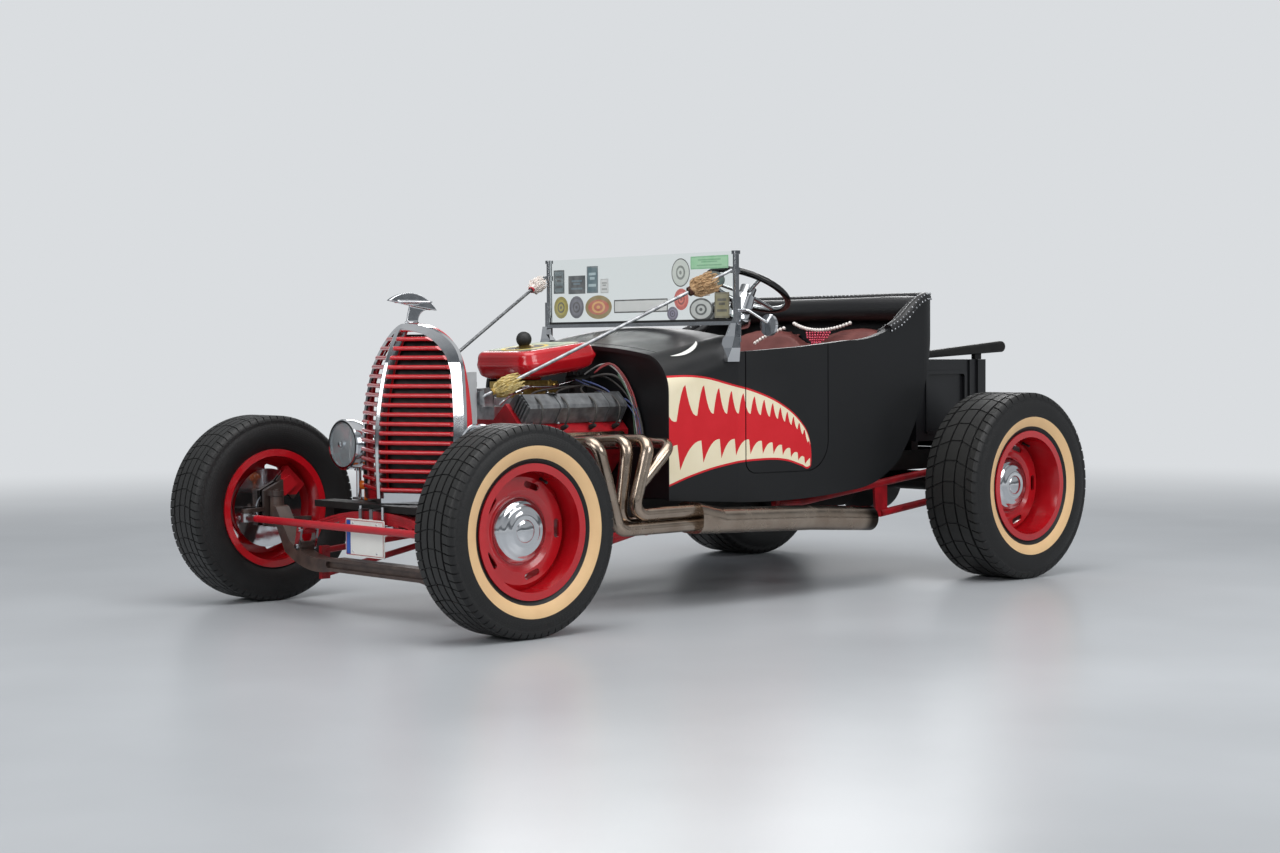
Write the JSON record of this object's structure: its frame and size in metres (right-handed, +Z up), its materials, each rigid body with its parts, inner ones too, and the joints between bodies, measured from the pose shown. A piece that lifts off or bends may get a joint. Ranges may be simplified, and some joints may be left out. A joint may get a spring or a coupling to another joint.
{
  "type": "street rod roadster",
  "caption": "Open two-seat street rod with a short cargo bed, exposed V8, arched grille, dropped front axle that steers, wheels that turn, an opening door and a tailgate.",
  "frame": {"origin": "on the floor under the middle of the car's length and width", "axes": "+X the car's left, +Y rearward, +Z up"},
  "size_m": [1.6724, 3.1059, 1.2179],
  "materials": {
    "satin_black_paint": "satin",
    "red_paint": "gloss",
    "red_powder_coat": "satin",
    "chrome": "polished",
    "polished_aluminium": "satin",
    "cast_iron": "matt",
    "dark_cast_aluminium": "satin",
    "brown_grey_paint": "satin",
    "weathered_steel": "matt",
    "tyre_rubber": "matt",
    "black_rubber": "matt",
    "lens_glass": "clear",
    "amber_plastic": "gloss",
    "red_plastic": "gloss",
    "blank_plate": "satin",
    "black_vinyl": "satin",
    "maroon_vinyl": "satin",
    "gold_passivated_zinc": "satin"
  },
  "bodies": {
    "chassis": {"frame": "satin_black_paint", "front_axle": "brown_grey_paint", "front_spring": "red_powder_coat", "spring_hardware": "chrome", "radius_rods": "red_powder_coat", "grille_trim": "chrome", "grille_shell": "red_paint", "grille_bars": "red_paint", "radiator": "polished_aluminium", "top_hose": "black_rubber", "ornament": "chrome", "headlamps": "chrome", "headlamp_lenses": "lens_glass", "turn_lamps": "amber_plastic", "number_plate": "blank_plate", "engine_block": "red_powder_coat", "valve_covers": "dark_cast_aluminium", "intake": "polished_aluminium", "carburettor": "gold_passivated_zinc", "air_cleaner": "red_paint", "air_knob": "black_rubber", "engine_front_drive": "polished_aluminium", "headers": "weathered_steel", "transmission": "dark_cast_aluminium", "driveshaft": "red_powder_coat", "rear_axle": "satin_black_paint", "ladder_bars": "red_powder_coat", "rear_dampers": "chrome", "body_tub": "satin_black_paint", "screen_frame": "chrome", "screen_glass": "lens_glass", "brace_rods": "chrome", "seat": "maroon_vinyl", "cockpit_roll": "black_vinyl", "steering_column": "dark_cast_aluminium", "steering_box": "cast_iron", "mirror": "chrome", "bed_box": "satin_black_paint", "bed_rails": "satin_black_paint", "tail_lamps": "red_plastic"},
    "knuckle_left": {"knuckle_left": "brown_grey_paint"},
    "knuckle_right": {"knuckle_right": "brown_grey_paint"},
    "tie_rod": {"tie_rod": "red_powder_coat"},
    "drag_link": {"drag_link": "red_powder_coat"},
    "pitman": {"pitman_arm": "cast_iron"},
    "steering_wheel": {"steering_wheel": "black_rubber"},
    "door": {"door": "satin_black_paint"},
    "tailgate": {"tailgate": "satin_black_paint"},
    "wheel_front_left": {"tyre_front_left": "tyre_rubber", "rim_front_left": "red_paint", "hub_front_left": "chrome"},
    "wheel_front_right": {"tyre_front_right": "tyre_rubber", "rim_front_right": "red_paint", "hub_front_right": "chrome"},
    "wheel_rear_left": {"tyre_rear_left": "tyre_rubber", "rim_rear_left": "red_paint", "hub_rear_left": "chrome"},
    "wheel_rear_right": {"tyre_rear_right": "tyre_rubber", "rim_rear_right": "red_paint", "hub_rear_right": "chrome"}
  },
  "joints": [
    {"name": "steer_left", "type": "hinge", "parent": "chassis", "child": "knuckle_left", "pos_m": [0.62, -1.227, 0.326], "axis": [0, 0, 1], "range_deg": [-25, 25]},
    {"name": "steer_right", "type": "hinge", "parent": "chassis", "child": "knuckle_right", "pos_m": [-0.62, -1.227, 0.326], "axis": [0, 0, 1], "range_deg": [-25, 25]},
    {"name": "tie_rod_swing", "type": "hinge", "parent": "knuckle_left", "child": "tie_rod", "pos_m": [0.62, -1.352, 0.3], "axis": [0, 0, 1], "range_deg": [-25, 25]},
    {"name": "pitman_swing", "type": "hinge", "parent": "chassis", "child": "pitman", "pos_m": [0.215, -1.112, 0.29], "axis": [0, 0, 1], "range_deg": [-25, 25]},
    {"name": "drag_link_swing", "type": "hinge", "parent": "pitman", "child": "drag_link", "pos_m": [0.215, -0.987, 0.262], "axis": [0, 0, 1], "range_deg": [-25, 25]},
    {"name": "steering_wheel_turn", "type": "hinge", "parent": "chassis", "child": "steering_wheel", "pos_m": [0.27, 0.23, 1.093], "axis": [0, 0.4695, 0.8829], "range_deg": [-350, 350]},
    {"name": "door_swing", "type": "hinge", "parent": "chassis", "child": "door", "pos_m": [-0.524, -0.039, 0.7], "axis": [0, 0, 1], "range_deg": [0, 65]},
    {"name": "tailgate_swing", "type": "hinge", "parent": "chassis", "child": "tailgate", "pos_m": [0, 1.439, 0.549], "axis": [1, 0, 0], "range_deg": [-90, 0]},
    {"name": "wheel_front_left_spin", "type": "hinge", "parent": "knuckle_left", "child": "wheel_front_left", "pos_m": [0.7085, -1.227, 0.326], "axis": [1, 0, 0], "continuous": true},
    {"name": "wheel_front_right_spin", "type": "hinge", "parent": "knuckle_right", "child": "wheel_front_right", "pos_m": [-0.7085, -1.227, 0.326], "axis": [1, 0, 0], "continuous": true},
    {"name": "wheel_rear_left_spin", "type": "hinge", "parent": "chassis", "child": "wheel_rear_left", "pos_m": [0.7092, 1.19, 0.3526], "axis": [1, 0, 0], "continuous": true},
    {"name": "wheel_rear_right_spin", "type": "hinge", "parent": "chassis", "child": "wheel_rear_right", "pos_m": [-0.7092, 1.19, 0.3526], "axis": [1, 0, 0], "continuous": true}
  ],
  "couplings": [
    {"joint": "steer_right", "follows": "steer_left", "ratio": 1},
    {"joint": "tie_rod_swing", "follows": "steer_left", "ratio": -1},
    {"joint": "pitman_swing", "follows": "steer_left", "ratio": 1},
    {"joint": "drag_link_swing", "follows": "steer_left", "ratio": -1},
    {"joint": "steering_wheel_turn", "follows": "steer_left", "ratio": 14}
  ]
}
